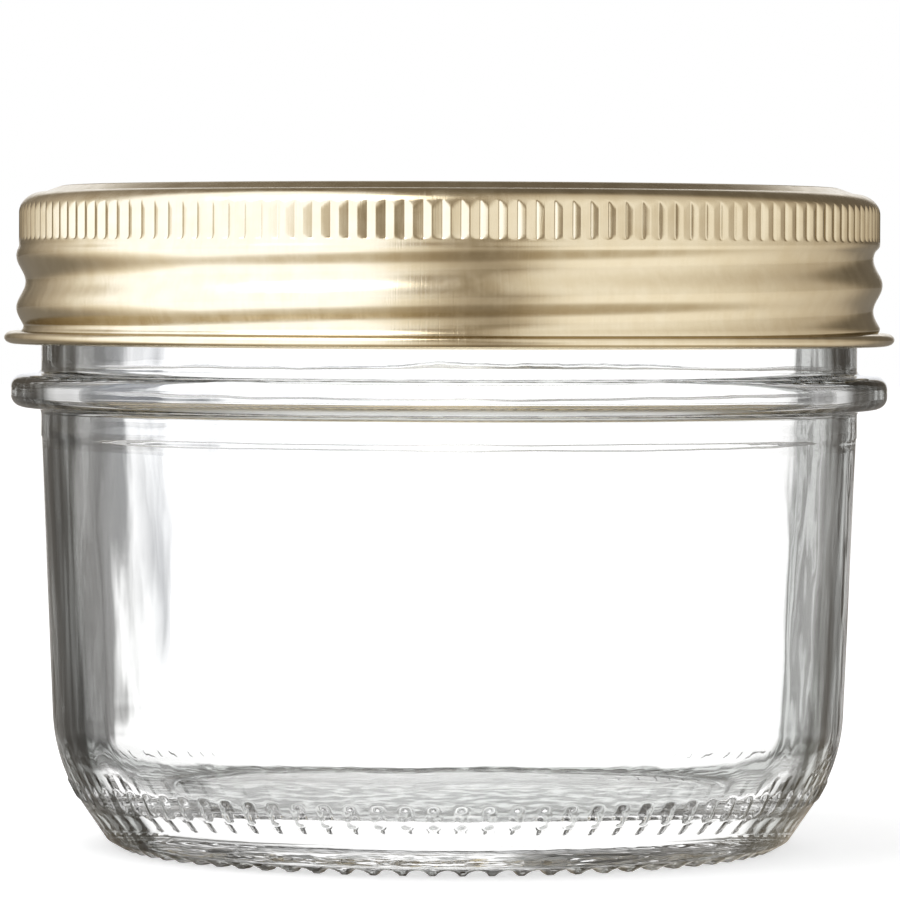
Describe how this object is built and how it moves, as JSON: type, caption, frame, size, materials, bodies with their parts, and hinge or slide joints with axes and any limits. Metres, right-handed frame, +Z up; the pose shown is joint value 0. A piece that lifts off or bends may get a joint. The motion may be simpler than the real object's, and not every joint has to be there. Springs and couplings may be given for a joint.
{
  "type": "sourdough starter jar",
  "caption": "Low, wide clear-glass jar with a carrying bead and a gold screw lid over a loose sealing capsule; the lid unscrews and lifts off.",
  "frame": {"origin": "on the jar's axis, in the plane that it stands on", "axes": "+Z up along the jar's axis; -Y is the front that the picture shows, +X is its right"},
  "size_m": [0.1032, 0.1032, 0.0766],
  "materials": {
    "clear_glass": "clear pressed soda-lime glass",
    "capsule_tinplate": "gold-lacquered tinplate, satin",
    "sealing_compound": "smooth flowed-in sealing compound, satin",
    "gold_tinplate": "champagne gold lacquered tinplate, satin with fine vertical grain"
  },
  "bodies": {
    "jar": {"glass_jar": "clear_glass"},
    "capsule": {"sealing_disc": "capsule_tinplate", "sealing_ring": "sealing_compound"},
    "lid": {"screw_lid": "gold_tinplate"}
  },
  "joints": [
    {"name": "lid_lift", "type": "slide", "parent": "jar", "child": "capsule", "axis": [0, 0, 1], "range_m": [0, 0.0241]},
    {"name": "lid_turn", "type": "hinge", "parent": "capsule", "child": "lid", "pos_m": [0, 0, 0.066], "axis": [0, 0, 1], "range_deg": [0, 1440]}
  ],
  "couplings": [
    {"joint": "lid_lift", "follows": "lid_turn", "m_per_rad": 0.00095493}
  ]
}
